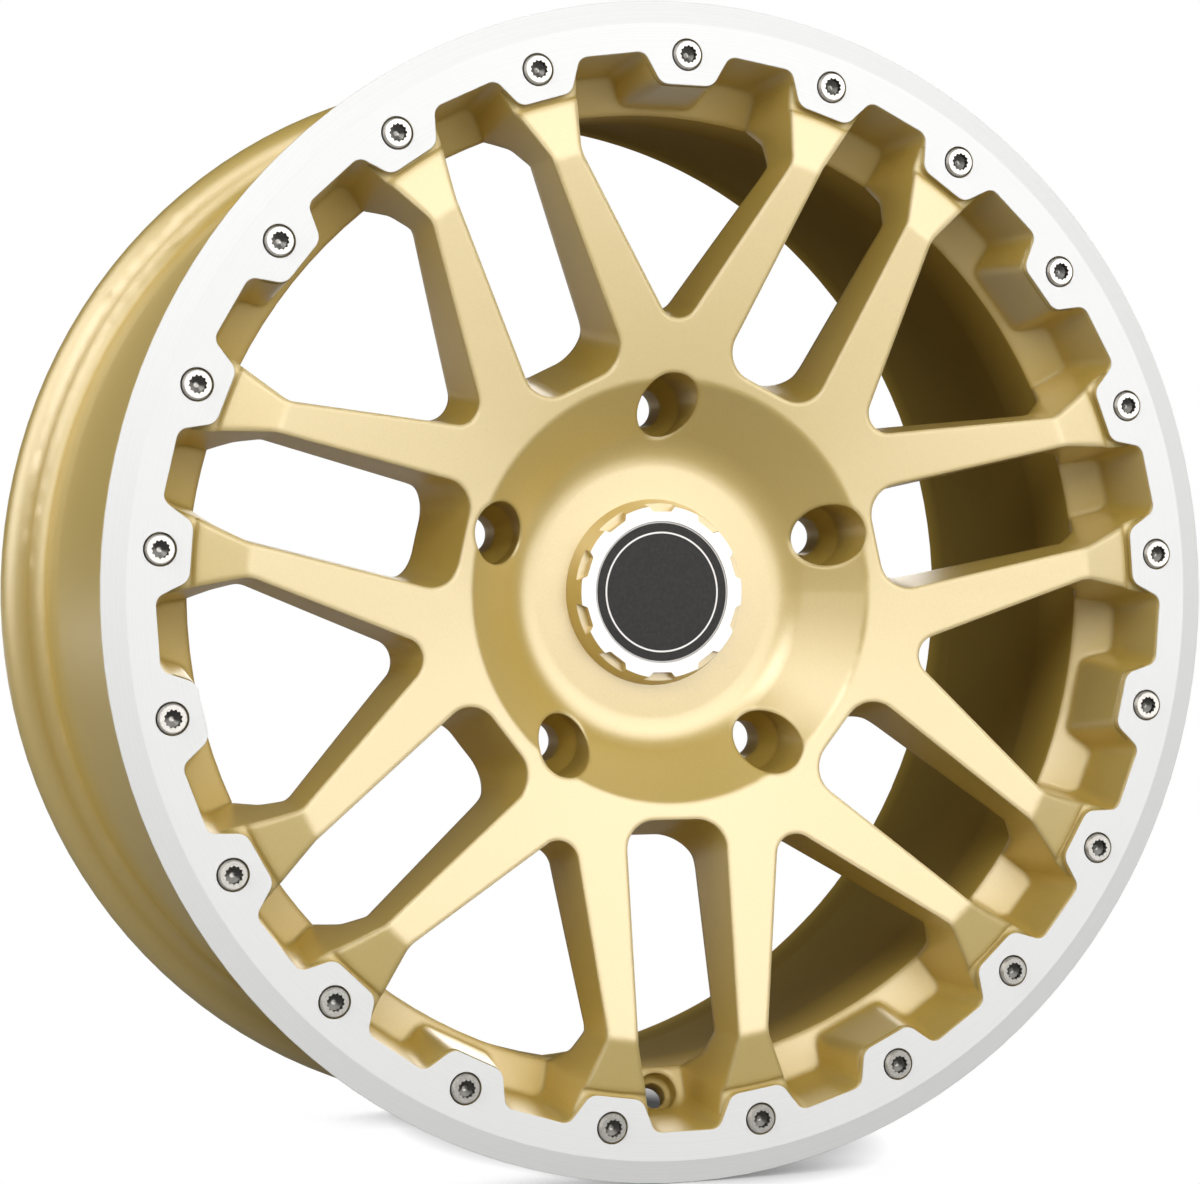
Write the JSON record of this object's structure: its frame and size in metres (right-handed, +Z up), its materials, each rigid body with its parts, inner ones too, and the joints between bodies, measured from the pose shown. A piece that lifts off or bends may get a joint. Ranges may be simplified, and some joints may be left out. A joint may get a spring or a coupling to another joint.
{
  "type": "alloy wheel",
  "caption": "Cast alloy road wheel with paired slim spokes, a deep barrel, a machined lip with a ring of screws and a notched snap-in centre cap.",
  "frame": {"origin": "centre of the hub's mounting face, on the wheel's axis", "axes": "+Y along the wheel's axis, inboard, away from the outboard face; +Z up, with a rim screw at twelve o'clock and the valve hole at six o'clock"},
  "size_m": [0.4969, 0.2319, 0.497],
  "materials": {
    "gold_paint": "satin",
    "screw_steel": "satin",
    "cap_plastic": "satin",
    "spring_steel": "satin",
    "badge_metal": "satin"
  },
  "bodies": {
    "root": {"wheel_casting": "gold_paint", "rim_screws": "screw_steel", "centre_cap": "cap_plastic", "cap_spring_ring": "spring_steel", "cap_badge": "badge_metal"}
  },
  "joints": []
}
